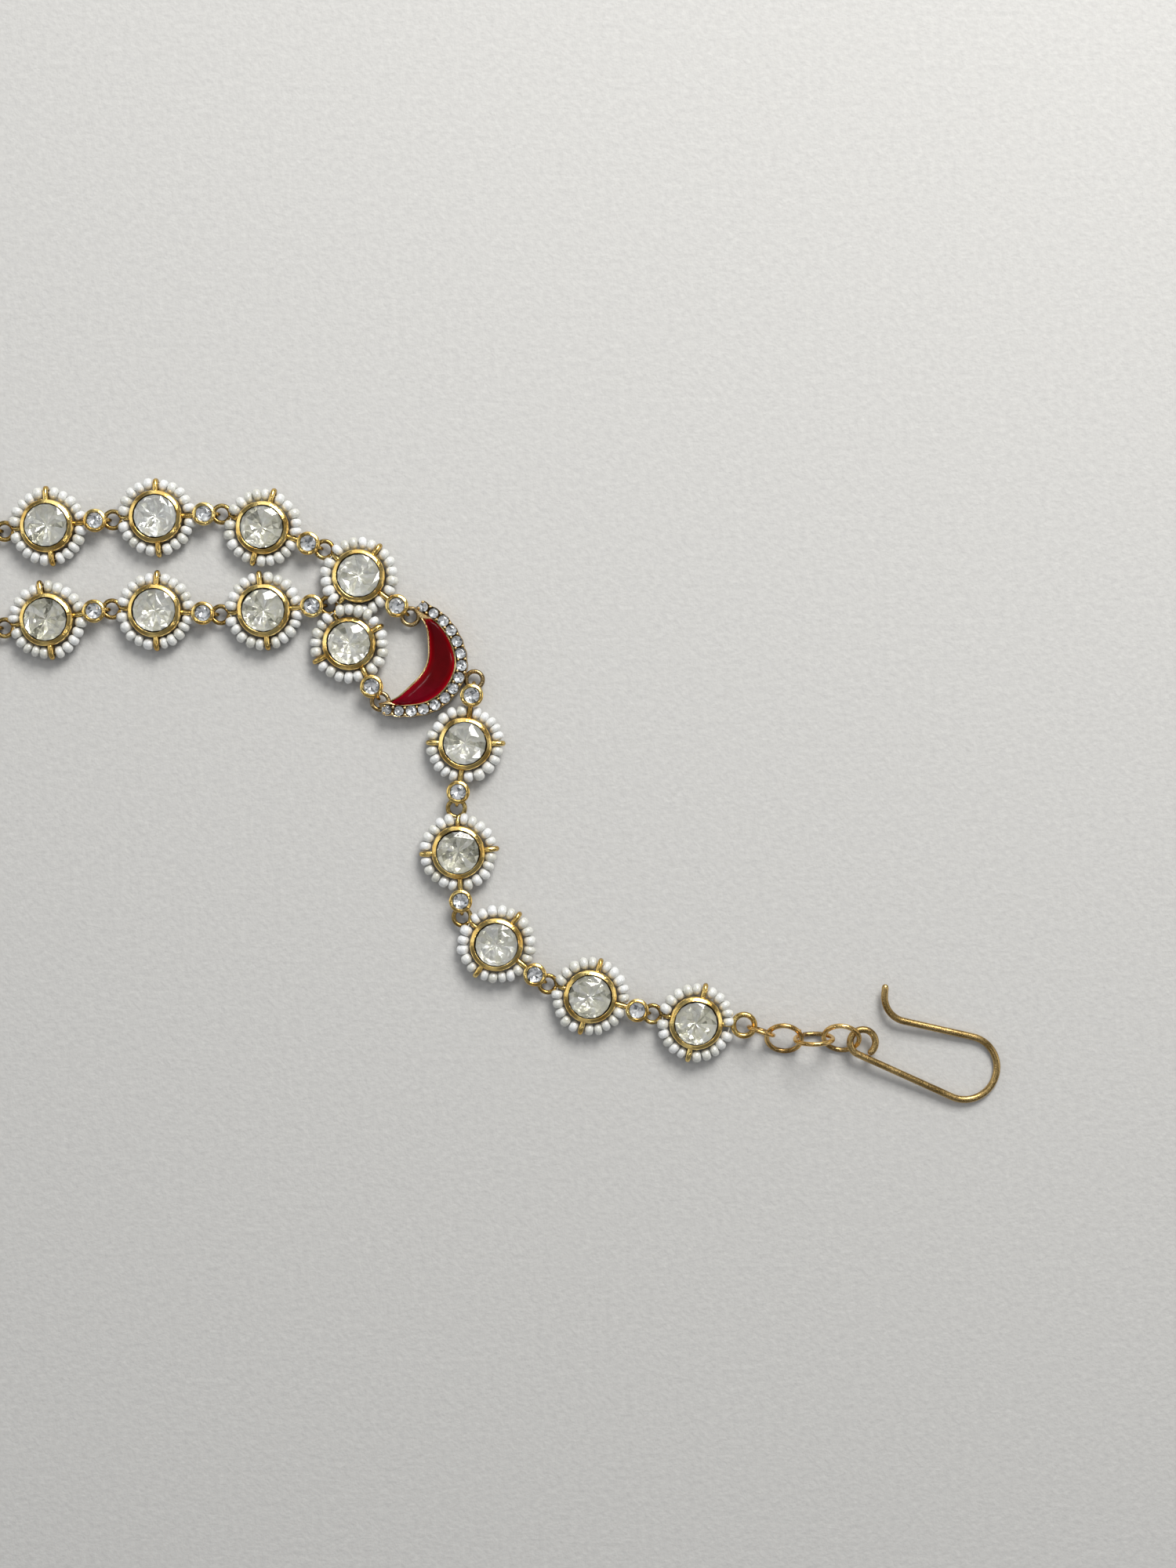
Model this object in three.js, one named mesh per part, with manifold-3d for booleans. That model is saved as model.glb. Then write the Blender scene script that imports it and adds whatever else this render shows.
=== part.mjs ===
// Matha patti: two rows of bezel-set stones with bead halos that meet at a red enamelled crescent on each
// side, then run on as one tail to a short chain and a wire hook. Millimetres, +Z up, lying flat on z = 0.
// The right half is laid out link by link; the left half is its mirror image.
import * as THREE from 'three';
import { mergeVertices } from 'three/addons/utils/BufferGeometryUtils.js';
import Module from 'manifold-3d';

const wasm = await Module();
wasm.setup();

// ---- driving dimensions ----
// Large bezel with its stone, and the ring that stands for the string of beads round it.
const BIG = { sides: 10, radius: 4.25, height: 3.4, rim: 0.8, table: 1.7, crown: 0.5 };
const HALO = { inner: 5.5, outer: 6.55, low: 0.85, high: 2.4, gap: 0.2 };
// Small bezel: a shallow cup on a square foot, so that the next eye can tuck in under its rim.
const SMALL = { sides: 8, radius: 1.9, foot: 1.1, under: 2.5, flare: 2.65, height: 3.15, table: 0.8, crown: 0.2 };
// The eyes lie at this height; the wire between the two bezels lies a little higher.
const WIRE_Z = 1.3;
const BAR = { radius: 0.42, sides: 5, z: 1.85 };
const EYE = { middle: 1.34, wire: 0.37, sides: 5, leg: 1.2 };
const CRESCENT_EYE = { middle: EYE.middle, wire: EYE.wire, steps: 10, sides: 5 };
const LOOP = { middle: 0.95, wire: 0.3, sides: 5, leg: 0.6, out: 1.17, z: 1.27 };
// Along one unit: large bezel to small bezel, small bezel to the next eye, that eye to the next large bezel.
const BIG_TO_SMALL = 7.8;
const SMALL_TO_EYE = 2.6;
const EYE_TO_BIG = 7.05;

// How each unit of a row lies: its heading from the large bezel to the small one, in degrees.
const ROWS = [
  { name: 'upper', startY: 41.1, headings: [6, 3, -19, -38] },
  { name: 'lower', startY: 25.6, headings: [10, -3, 5, -62] },
];
const TAIL = { x: 77.9, y: 17.3, headings: [-98, -87, -38, -16, -11] };

// Crescent, in its own frame: the line of the pave stones, and the concave inner edge, tip to tip.
const CRESCENT = { x: 70.5, y: 21.0, steps: 11, ledge: 2.8, ledgeHalf: 0.95, field: 3.2, border: 0.35, recess: 2.2 };
const STONE_LINE = [
  { x: -1.1, y: 8.1 }, { x: 2.4, y: 5.75 }, { x: 4.6, y: 2.5 }, { x: 5.4, y: -1.6 },
  { x: 3.9, y: -5.4 }, { x: 0.75, y: -8.0 }, { x: -3.25, y: -8.8 }, { x: -7.0, y: -8.5 },
];
const INNER_EDGE = [
  { x: -2.3, y: 7.7 }, { x: -0.3, y: 4.6 }, { x: 0.05, y: 2.0 }, { x: -0.05, y: -0.6 },
  { x: -0.9, y: -2.6 }, { x: -3.25, y: -5.1 }, { x: -5.2, y: -6.7 }, { x: -7.9, y: -7.6 },
];
const ENAMEL = { from: 0.13, to: 0.9, gap: 0.2, low: 2.3 };

// End ring of the tail, then chain links one after another: each lies 'apart' from the one before along
// 'heading', and 'tilt' raises it about its own long line, which points along 'faces'.
const END_RING = { distance: 7.7, turn: 8, middle: 1.8, wire: 0.42, z: 1.9 };
const LINKS = [
  { name: 'chain_link_1', apart: 2.85, heading: -18, faces: -18, middle: 2.1, wire: 0.33, tilt: 90 },
  { name: 'chain_link_2', apart: 3.88, heading: -18, faces: -10, middle: 2.83, wire: 0.4, tilt: 38 },
  { name: 'chain_link_3', apart: 4.7, heading: 0, faces: 2, middle: 3, wire: 0.35, tilt: 106 },
  { name: 'chain_link_4', apart: 4.46, heading: 1, faces: -12, middle: 2.87, wire: 0.4, tilt: 42 },
];
const LINK_MESH = { steps: 10, sides: 5 };

// Hook: one wire, traced from the free end of its eye; the bend lies on the ground and the eye rides up.
const HOOK = { apart: 3.53, heading: -12, eye: 2.05, wire: 0.5, sides: 6, eyeEnd: -50, pitch: 3.9 };
const HOOK_PATH = [
  { radius: HOOK.eye, turn: 295.5 }, { length: 16.8 }, { radius: 5.2, turn: 107.5 }, { radius: 5, turn: 84 },
  { length: 11.6 }, { radius: 4, turn: -82 }, { length: 1.15 },
];

// ---- materials ----
const metal = (name, color, roughness) => new THREE.MeshStandardMaterial({ name, color, roughness, metalness: 1 });
const gold = () => metal('polished_gold', 0xd9a441, 0.25);
const brass = () => metal('antique_brass', 0x8a6a35, 0.4);
const enamelRed = () => new THREE.MeshStandardMaterial({ name: 'red_enamel', color: 0x9c0d1a, roughness: 0.1 });

// ---- solids ----
const shares = (count, from = 0, to = 1) =>
  Array.from({ length: count + 1 }, (_, i) => from + ((to - from) * i) / count);

const rad = THREE.MathUtils.degToRad;
const heading = (degrees) => new THREE.Vector2(Math.cos(rad(degrees)), Math.sin(rad(degrees)));

function toSolid(geometry) {
  const bare = geometry.clone();
  bare.deleteAttribute('normal');
  bare.deleteAttribute('uv');
  const merged = mergeVertices(bare, 1e-4);
  return new wasm.Manifold(new wasm.Mesh({
    numProp: 3,
    vertProperties: merged.attributes.position.array,
    triVerts: Uint32Array.from(merged.index.array),
  }));
}

function toGeometry(solid) {
  const mesh = solid.getMesh();
  const geometry = new THREE.BufferGeometry();
  geometry.setAttribute('position', new THREE.BufferAttribute(Float32Array.from(mesh.vertProperties), 3));
  geometry.setIndex(new THREE.BufferAttribute(Uint32Array.from(mesh.triVerts), 1));
  return geometry;
}

const fuse = (geometries) => geometries.map(toSolid).reduce((whole, piece) => whole.add(piece));

// A profile of [radius, height] corners turned about Z.
function turned(profile, sides) {
  const lathe = new THREE.LatheGeometry(profile.map(([r, z]) => new THREE.Vector2(r, z)), sides);
  return lathe.rotateX(Math.PI / 2);
}

// A route through points, with a mitred corner on each of them.
class Polyline extends THREE.Curve {
  constructor(points) {
    super();
    this.points = points.map(({ x, y }) => new THREE.Vector3(x, y, 0));
  }

  getPoint(t) {
    const i = Math.round(t * (this.points.length - 1));
    return this.points[i].clone();
  }

  getPointAt(t) {
    return this.getPoint(t);
  }

  getTangentAt(t) {
    const i = Math.round(t * (this.points.length - 1));
    const before = this.points[Math.max(i - 1, 0)];
    const after = this.points[Math.min(i + 1, this.points.length - 1)];
    return after.clone().sub(before).normalize();
  }
}

// A wire of a few flat sides along points in the XY plane. Its first flat faces down.
function sweep(points, radius, sides) {
  const section = new THREE.Shape(shares(sides).slice(0, -1).map((share) => {
    const angle = 2 * Math.PI * share + Math.PI / sides;
    return new THREE.Vector2(Math.cos(angle), Math.sin(angle)).multiplyScalar(radius);
  }));
  return new THREE.ExtrudeGeometry(section, { steps: points.length - 1, extrudePath: new Polyline(points) });
}

// A round ring flat in XY.
function ring({ middle, wire, steps, sides }) {
  return new THREE.TorusGeometry(middle, wire, sides, steps);
}

// A straight wire along X between two distances from the origin.
function bar(from, to) {
  const rod = new THREE.CylinderGeometry(BAR.radius, BAR.radius, to - from, BAR.sides);
  return rod.rotateZ(Math.PI / 2).translate((from + to) / 2, 0, BAR.z);
}

function largeBezel() {
  const rimInner = BIG.radius - BIG.rim;
  return turned([
    [0, 0], [BIG.radius, 0], [HALO.outer, HALO.low], [HALO.inner, HALO.high],
    [BIG.radius, HALO.high - 0.1], [BIG.radius, BIG.height], [rimInner, BIG.height],
    [BIG.table, BIG.height + BIG.crown], [0, BIG.height + BIG.crown],
  ], BIG.sides);
}

function smallBezel(x) {
  const cup = turned([
    [0, SMALL.under], [SMALL.radius, SMALL.flare], [SMALL.radius, SMALL.height],
    [SMALL.table, SMALL.height + SMALL.crown], [0, SMALL.height + SMALL.crown],
  ], SMALL.sides);
  const tall = SMALL.flare + 0.1;
  const foot = new THREE.BoxGeometry(SMALL.foot, SMALL.foot, tall).translate(0, 0, tall / 2);
  return toGeometry(fuse([cup, foot]).translate(x, 0, 0));
}

// A wire bent round a centre, with two straight legs that run on towards +X to be soldered there.
function bentWire({ middle, wire, sides, leg }) {
  const arc = new THREE.EllipseCurve(0, 0, middle, middle, rad(60), rad(300));
  const round = shares(6).map((share) => arc.getPoint(share));
  const ends = [round[0], round.at(-1)].map(({ x, y }) => new THREE.Vector2(x + leg, y));
  return sweep([ends[0], ...round, ends[1]], wire, sides);
}

// The upright loop soldered to the foot of a small bezel; side is +1 or -1 along X.
function uprightLoop(x, side) {
  const loop = bentWire(LOOP).rotateX(Math.PI / 2).rotateZ(side > 0 ? Math.PI : 0);
  return loop.translate(x + side * LOOP.out, 0, LOOP.z);
}

// The flat eye at the inner end of a unit: its open side is soldered into the large bezel's halo.
const unitEye = () => bentWire(EYE).translate(-EYE_TO_BIG, 0, WIRE_Z);

// One unit of the rows: an eye, the large bezel in its halo, a wire and the small bezel with its loop.
function unit() {
  return fuse([
    largeBezel(), unitEye(), bar(HALO.inner, BIG_TO_SMALL), smallBezel(BIG_TO_SMALL),
    uprightLoop(BIG_TO_SMALL, 1),
  ]);
}

// The first unit of the tail has a small bezel at both ends.
function doubleUnit() {
  return fuse([
    largeBezel(), bar(-BIG_TO_SMALL, -HALO.inner), bar(HALO.inner, BIG_TO_SMALL),
    smallBezel(-BIG_TO_SMALL), uprightLoop(-BIG_TO_SMALL, -1), smallBezel(BIG_TO_SMALL),
    uprightLoop(BIG_TO_SMALL, 1),
  ]);
}

// The last unit of the tail ends in a plain flat ring for the chain.
function lastUnit() {
  const end = heading(END_RING.turn).multiplyScalar(END_RING.distance);
  const endRing = ring({ ...LINK_MESH, middle: END_RING.middle, wire: END_RING.wire });
  return fuse([largeBezel(), unitEye(), endRing.translate(end.x, end.y, END_RING.z)]);
}

// The middle of each row: one small bezel with a loop on both sides.
function centreLink() {
  return fuse([smallBezel(0), uprightLoop(0, 1), uprightLoop(0, -1)]);
}

// ---- layout of the right half ----
const placed = [];
function place(name, solid, x, y, turn, material) {
  placed.push({ name, solid, x, y, turn, material });
}

// Walks a row of units from a first eye and returns the point where the next eye goes.
function walk(prefix, start, headings, makers) {
  const at = start.clone();
  headings.forEach((degrees, i) => {
    const along = heading(degrees);
    at.addScaledVector(along, EYE_TO_BIG);
    place(`${prefix}_${i + 1}`, makers[i](), at.x, at.y, degrees, gold);
    at.addScaledVector(along, BIG_TO_SMALL + SMALL_TO_EYE);
  });
  return at;
}

// Lays one row from the middle outwards. Returns the height of its middle and its last eye.
const rowEnds = ROWS.map(({ name, startY, headings }) => {
  const start = new THREE.Vector2(SMALL_TO_EYE, startY);
  return walk(`${name}_station`, start, headings, headings.map(() => unit));
});

// Where the two rows close up, the lower halo gives way to the upper one.
function giveWay(name, neighbourName) {
  const loser = placed.find((item) => item.name === name);
  const winner = placed.find((item) => item.name === neighbourName);
  const offset = new THREE.Vector2(winner.x - loser.x, winner.y - loser.y)
    .rotateAround(new THREE.Vector2(), -rad(loser.turn));
  const clear = HALO.outer + HALO.gap;
  const room = turned([[0, -1], [clear, -1], [clear, HALO.high + 1], [0, HALO.high + 1]], 24);
  loser.solid = loser.solid.subtract(toSolid(room.translate(offset.x, offset.y, 0)));
}
giveWay('lower_station_4', 'upper_station_4');

const tailStart = new THREE.Vector2(TAIL.x, TAIL.y);
const firstAlong = heading(TAIL.headings[0]);
const firstTail = tailStart.clone().addScaledVector(firstAlong, SMALL_TO_EYE + BIG_TO_SMALL);
place('tail_station_1', doubleUnit(), firstTail.x, firstTail.y, TAIL.headings[0], gold);
const secondEye = firstTail.clone().addScaledVector(firstAlong, BIG_TO_SMALL + SMALL_TO_EYE);
const restOfTail = TAIL.headings.slice(1);
const lastBig = secondEye.clone();
restOfTail.forEach((degrees, i) => {
  const along = heading(degrees);
  lastBig.addScaledVector(along, EYE_TO_BIG);
  const last = i === restOfTail.length - 1;
  place(`tail_station_${i + 2}`, last ? lastUnit() : unit(), lastBig.x, lastBig.y, degrees, gold);
  if (!last) lastBig.addScaledVector(along, BIG_TO_SMALL + SMALL_TO_EYE);
});

// ---- crescent ----
const spline = (rows) => new THREE.CatmullRomCurve3(rows.map(({ x, y }) => new THREE.Vector3(x, y, 0)));
const stoneLine = spline(STONE_LINE);
const innerEdge = spline(INNER_EDGE);

// A point beside the stone line, 'out' millimetres to its outer side.
function beside(t, out) {
  const point = stoneLine.getPointAt(t);
  const along = stoneLine.getTangentAt(t);
  return new THREE.Vector2(point.x - along.y * out, point.y + along.x * out);
}

function prism(outline, low, high) {
  const shape = new THREE.Shape(outline);
  return new THREE.ExtrudeGeometry(shape, { depth: high - low, bevelEnabled: false }).translate(0, 0, low);
}

// The enamel field between the inner edge and the stone ledge, drawn in by 'inset' all round.
function fieldOutline(inset, from, to) {
  const across = shares(CRESCENT.steps, from, to).map((t) => {
    const a = innerEdge.getPointAt(t);
    const low = new THREE.Vector2(a.x, a.y);
    const high = beside(t, -CRESCENT.ledgeHalf + 0.1);
    const step = high.clone().sub(low).normalize().multiplyScalar(inset);
    return { low: low.add(step), high: high.sub(step) };
  });
  return [...across.map(({ low }) => low), ...across.map(({ high }) => high).reverse()];
}

function bodyOutline() {
  const inner = shares(CRESCENT.steps).map((t) => innerEdge.getPointAt(t)).map(({ x, y }) => new THREE.Vector2(x, y));
  const outer = shares(CRESCENT.steps).map((t) => beside(t, CRESCENT.ledgeHalf)).reverse();
  return [...inner, ...outer];
}

function crescentBody(eyes) {
  let body = fuse([
    prism(bodyOutline(), 0, CRESCENT.ledge), prism(fieldOutline(0, 0.02, 0.98), 0.2, CRESCENT.field),
  ]);
  const recess = prism(fieldOutline(CRESCENT.border, ENAMEL.from, ENAMEL.to), CRESCENT.recess, CRESCENT.field + 1);
  body = body.subtract(toSolid(recess));
  for (const { x, y } of eyes) {
    const hole = turned([[0, -1], [EYE.middle - EYE.wire, -1], [EYE.middle - EYE.wire, 5], [0, 5]], EYE.steps);
    body = body.subtract(toSolid(hole.translate(x, y, 0))).add(toSolid(ring(CRESCENT_EYE).translate(x, y, WIRE_Z)));
  }
  return body;
}

function enamel() {
  const inset = CRESCENT.border + ENAMEL.gap;
  return toSolid(prism(fieldOutline(inset, ENAMEL.from + 0.025, ENAMEL.to - 0.02), ENAMEL.low, CRESCENT.field - 0.05));
}

const middle = new THREE.Vector2(CRESCENT.x, CRESCENT.y);
const eyes = [...rowEnds, tailStart].map((point) => point.clone().sub(middle));
place('crescent', crescentBody(eyes), CRESCENT.x, CRESCENT.y, 0, gold);
place('crescent_enamel', enamel(), CRESCENT.x, CRESCENT.y, 0, enamelRed);

// ---- chain and hook ----
function onGround(geometry) {
  geometry.computeBoundingBox();
  return geometry.translate(0, 0, -geometry.boundingBox.min.z);
}

const chainAt = lastBig.clone().addScaledVector(heading(TAIL.headings.at(-1) + END_RING.turn), END_RING.distance);
for (const link of LINKS) {
  chainAt.addScaledVector(heading(link.heading), link.apart);
  const tilted = ring({ ...LINK_MESH, ...link }).rotateX(rad(link.tilt));
  place(link.name, toSolid(onGround(tilted)), chainAt.x, chainAt.y, link.faces, gold);
}

// Follows the rows of a path of straights and bends, and returns the points of its middle line.
function trace(start, degrees, rows) {
  const points = [start.clone()];
  const at = start.clone();
  let facing = degrees;
  for (const { length, radius, turn } of rows) {
    const steps = length ? 1 : Math.ceil(Math.abs(turn) / 28);
    const stepTurn = length ? 0 : turn / steps;
    const stepLength = length ? length / steps : 2 * radius * Math.sin(rad(Math.abs(stepTurn)) / 2);
    for (let i = 0; i < steps; i += 1) {
      at.addScaledVector(heading(facing + stepTurn / 2), stepLength);
      facing += stepTurn;
      points.push(at.clone());
    }
  }
  return points;
}

function hook() {
  const start = heading(HOOK.eyeEnd).multiplyScalar(HOOK.eye);
  const points = trace(start, HOOK.eyeEnd + 90, HOOK_PATH);
  return toSolid(onGround(sweep(points, HOOK.wire, HOOK.sides).rotateY(rad(HOOK.pitch))));
}

chainAt.addScaledVector(heading(HOOK.heading), HOOK.apart);
place('hook', hook(), chainAt.x, chainAt.y, 0, brass);

// ---- the whole ornament ----
const group = new THREE.Group();

function addMesh(name, solid, x, y, turn, material) {
  const mesh = new THREE.Mesh(toGeometry(solid), material());
  mesh.name = name;
  mesh.position.set(x, y, 0);
  mesh.rotation.z = rad(turn);
  group.add(mesh);
}

// The right half as laid out, and the left half as true mirror images of its solids.
for (const { name, solid, x, y, turn, material } of placed) {
  addMesh(`${name}_right`, solid, x, y, turn, material);
  addMesh(`${name}_left`, solid.mirror([1, 0, 0]), -x, y, -turn, material);
}
for (const { name, startY } of ROWS) addMesh(`${name}_centre_link`, centreLink(), 0, startY, 0, gold);

// The origin lies on the ground under the middle of the whole outline.
const bounds = new THREE.Box3().setFromObject(group, true);
group.position.set(0, -(bounds.min.y + bounds.max.y) / 2, -bounds.min.z);

export default group;
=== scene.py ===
import math

import bpy
import numpy as np
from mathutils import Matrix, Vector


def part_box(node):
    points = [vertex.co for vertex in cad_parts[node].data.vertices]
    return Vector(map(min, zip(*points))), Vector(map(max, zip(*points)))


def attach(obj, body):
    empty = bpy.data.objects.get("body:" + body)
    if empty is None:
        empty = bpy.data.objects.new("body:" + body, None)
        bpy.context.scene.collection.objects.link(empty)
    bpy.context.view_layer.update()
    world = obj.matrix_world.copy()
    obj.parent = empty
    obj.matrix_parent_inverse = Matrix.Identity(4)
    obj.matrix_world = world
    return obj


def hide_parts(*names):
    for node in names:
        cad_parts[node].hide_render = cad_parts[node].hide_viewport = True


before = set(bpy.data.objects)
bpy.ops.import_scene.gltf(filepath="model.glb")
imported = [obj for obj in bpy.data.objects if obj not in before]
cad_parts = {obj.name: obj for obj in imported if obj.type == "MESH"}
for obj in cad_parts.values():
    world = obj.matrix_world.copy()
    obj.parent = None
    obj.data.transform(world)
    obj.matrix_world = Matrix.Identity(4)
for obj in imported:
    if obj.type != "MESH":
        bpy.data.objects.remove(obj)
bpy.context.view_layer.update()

MM = 0.001

# ---- camera, light and floor ----
# The ornament lies flat on a plain pale surface, seen from straight above with its right half in view. A soft
# window light stands high at the upper right. Wide screens above and round the table give the polished metal
# its bright bands, small weak lamps make the stones glint, and the room adds a little.
# Millimetres: the middle and the height of the view, and how far the camera stands above the stones' tops.
VIEW_X, VIEW_Y, VIEW_HEIGHT, CAMERA_HEIGHT = 96.1, 0.94, 250.0, 340.0
STONE_TOPS = 3.2
SENSOR = 32

camera_data = bpy.data.cameras.new("camera")
camera_data.sensor_fit = "VERTICAL"
camera_data.sensor_height = SENSOR
camera_data.lens = SENSOR * CAMERA_HEIGHT / VIEW_HEIGHT
camera_data.clip_start = 0.01
camera = bpy.data.objects.new("camera", camera_data)
camera.location = (VIEW_X * MM, VIEW_Y * MM, (CAMERA_HEIGHT + STONE_TOPS) * MM)
bpy.context.collection.objects.link(camera)
bpy.context.scene.camera = camera

SUNLIT, SKYLIT, SHADED = (1.0, 0.985, 0.96), (0.95, 0.975, 1.0), (0.97, 0.985, 1.0)
WARM, LAMPLIT = (1.0, 0.99, 0.97), (1.0, 0.98, 0.95)
# Metres and watts.
SCREENS = [
    {"name": "window_light", "at": (0.28, 0.46, 0.46), "size": 0.3, "watts": 4.5, "color": SUNLIT},
    {"name": "overhead_screen", "at": (0.02, 0.22, 1.0), "size": 0.9, "watts": 1.0, "color": SKYLIT},
    {"name": "left_screen", "at": (-0.85, 0.25, 0.38), "size": 0.7, "watts": 1.6, "color": SHADED},
    {"name": "back_screen", "at": (0.05, 1.05, 0.38), "size": 0.7, "watts": 1.8, "color": SHADED},
    {"name": "right_screen", "at": (1.0, 0.05, 0.34), "size": 0.5, "watts": 0.9, "color": WARM},
    {"name": "front_screen", "at": (-0.15, -0.95, 0.45), "size": 0.45, "watts": 0.2, "color": LAMPLIT},
]
# The glint lamps stand on a dome over the middle of the view: bearing from +X, and lean from straight above.
GLINTS = [{"bearing": 20, "lean": 24}, {"bearing": 75, "lean": 33}, {"bearing": 140, "lean": 22},
          {"bearing": 200, "lean": 40}, {"bearing": 265, "lean": 27}, {"bearing": 320, "lean": 36}]
GLINT_DOME, GLINT_SIZE, GLINT_WATTS = 0.8, 0.05, 0.14
ROOM_COLOR, ROOM_STRENGTH = (0.9, 0.93, 1.0, 1), 0.16


def softbox(name, at, size, watts, color):
    """An area light that faces the middle of the view."""
    data = bpy.data.lights.new(name, "AREA")
    data.shape = "SQUARE"
    data.size = size
    data.energy = watts
    data.color = color
    light = bpy.data.objects.new(name, data)
    light.location = at
    aim = np.array([VIEW_X * MM - at[0], VIEW_Y * MM - at[1], -at[2]])
    tip = math.acos(-aim[2] / np.linalg.norm(aim))
    light.rotation_euler = (tip, 0, math.atan2(aim[1], aim[0]) - math.pi / 2)
    bpy.context.collection.objects.link(light)


for row in SCREENS:
    softbox(**row)
for n, row in enumerate(GLINTS):
    bearing, lean = math.radians(row["bearing"]), math.radians(row["lean"])
    out = GLINT_DOME * math.sin(lean)
    at = (VIEW_X * MM + out * math.cos(bearing), out * math.sin(bearing), GLINT_DOME * math.cos(lean))
    softbox(f"glint_{n}", at, GLINT_SIZE, GLINT_WATTS, LAMPLIT)

world = bpy.data.worlds.new("room")
world.use_nodes = True
world.node_tree.nodes["Background"].inputs["Color"].default_value = ROOM_COLOR
world.node_tree.nodes["Background"].inputs["Strength"].default_value = ROOM_STRENGTH
bpy.context.scene.world = world
bpy.context.scene.view_settings.view_transform = "Standard"


def material(name, **values):
    """A node material with constant values on its shader. Returns it with its shader and a node maker."""
    made = bpy.data.materials.new(name)
    made.use_nodes = True
    shader = made.node_tree.nodes["Principled BSDF"]
    for key, value in values.items():
        shader.inputs[key.replace("_", " ")].default_value = value

    def node(kind, inputs=(), **settings):
        fresh = made.node_tree.nodes.new(kind)
        for key, value in settings.items():
            setattr(fresh, key, value)
        for key, value in dict(inputs).items():
            if isinstance(value, bpy.types.NodeSocket):
                made.node_tree.links.new(value, fresh.inputs[key])
            else:
                fresh.inputs[key].default_value = value
        return fresh

    return made, shader, node


def link(made, output, target):
    made.node_tree.links.new(output, target)


def object_space(node):
    return node("ShaderNodeTexCoord").outputs["Object"]


def noise(node, scale, detail=3.0):
    """Noise in object space; scale is in waves per metre."""
    inputs = {"Vector": object_space(node), "Scale": scale, "Detail": detail, "Roughness": 0.55}
    return node("ShaderNodeTexNoise", inputs).outputs["Fac"]


def ramp(node, value, *stops):
    """A colour ramp of (position, colour) stops."""
    made = node("ShaderNodeValToRGB", {"Fac": value})
    elements = made.color_ramp.elements
    while len(elements) < len(stops):
        elements.new(0.5)
    for element, (position, color) in zip(elements, stops):
        element.position = position
        element.color = (*color, 1)
    return made.outputs["Color"]


def bump(made, shader, node, value, strength, distance):
    made_bump = node("ShaderNodeBump", {"Height": value, "Strength": strength, "Distance": distance})
    link(made, made_bump.outputs["Normal"], shader.inputs["Normal"])


FLOOR_REACH = 3
FLOOR_SHADES = (0.3, (0.54, 0.535, 0.52)), (0.7, (0.60, 0.595, 0.575))

paper, shader, node = material("pale_floor", Roughness=0.9, Specular_IOR_Level=0.2)
link(paper, ramp(node, noise(node, 900, 4), *FLOOR_SHADES), shader.inputs["Base Color"])
bump(paper, shader, node, noise(node, 1400, 4), 0.35, 0.0003)
floor_mesh = bpy.data.meshes.new("floor")
floor_corners = [(x * FLOOR_REACH, y * FLOOR_REACH, 0) for x, y in ((-1, -1), (1, -1), (1, 1), (-1, 1))]
floor_mesh.from_pydata(floor_corners, [], [(0, 1, 2, 3)])
floor_mesh.materials.append(paper)
floor = bpy.data.objects.new("floor", floor_mesh)
bpy.context.collection.objects.link(floor)

# ---- gold settings ----
# Each station is one soldered brass unit, gold plated and polished: a turned bezel on a base plate, two eyelets
# for the bead thread, a hooked wire eye at one end, and at the other a small collet with an upright loop. The
# first of each tail has a collet at both ends, and the last ends in a plain ring.
def mix(node, share, first, second):
    """Two colours mixed."""
    made = node("ShaderNodeMix", data_type="RGBA")
    for index, value in ((0, share), (6, first), (7, second)):
        if isinstance(value, bpy.types.NodeSocket):
            made.id_data.links.new(value, made.inputs[index])
        else:
            made.inputs[index].default_value = value
    return made.outputs[2]


def mapped(node, value, start, end, low, high):
    """A value between start and end brought to between low and high."""
    inputs = {"Value": value, "From Min": start, "From Max": end, "To Min": low, "To Max": high}
    return node("ShaderNodeMapRange", inputs).outputs["Result"]


def spread(node, value, low, high):
    """The middle of a noise value spread over another range."""
    return mapped(node, value, 0.3, 0.7, low, high)


def combined(node, operation, first, second):
    return node("ShaderNodeMath", {0: first, 1: second}, operation=operation).outputs["Value"]


def metal(name, deep, bright, dark, smooth, rough, dark_below, worked_by=0.3):
    """Plated metal: tone drifts over the surface, low parts are painted darker as shade, and it has fine wear.
    """
    made, shader, node = material(name, Metallic=1.0)
    tone = ramp(node, noise(node, 300, 3), (0.34, deep), (0.62, bright))
    height = node("ShaderNodeSeparateXYZ", {"Vector": object_space(node)}).outputs["Z"]
    # Painted shade: below dark_below the colour fades to the dark colour, a little mottled, for the shade low
    # between the parts.
    low = mapped(node, height, dark_below * 0.4, dark_below, 1.0, 0.0)
    painted_low_shade = combined(node, "MULTIPLY", low, spread(node, noise(node, 1500, 3), 0.55, 1.0))
    link(made, mix(node, painted_low_shade, tone, (*dark, 1)), shader.inputs["Base Color"])
    link(made, spread(node, noise(node, 2600, 4), smooth, rough), shader.inputs["Roughness"])
    worked = combined(node, "ADD", noise(node, 800, 2), noise(node, 3200, 4))
    bump(made, shader, node, worked, worked_by, 0.00008)
    return made


gold = metal("polished_gold", deep=(0.72, 0.44, 0.11), bright=(1.0, 0.76, 0.29), dark=(0.06, 0.028, 0.006),
             smooth=0.1, rough=0.26, dark_below=0.003)
# shadowed_gold is painted shade: near-black gold on the bezel's inner wall round each stone and on the
# crescent's ledge under its pave stones.
crevice = metal("shadowed_gold", deep=(0.05, 0.025, 0.008), bright=(0.12, 0.065, 0.02),
                dark=(0.02, 0.01, 0.004), smooth=0.35, rough=0.55, dark_below=0.0034)


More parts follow.
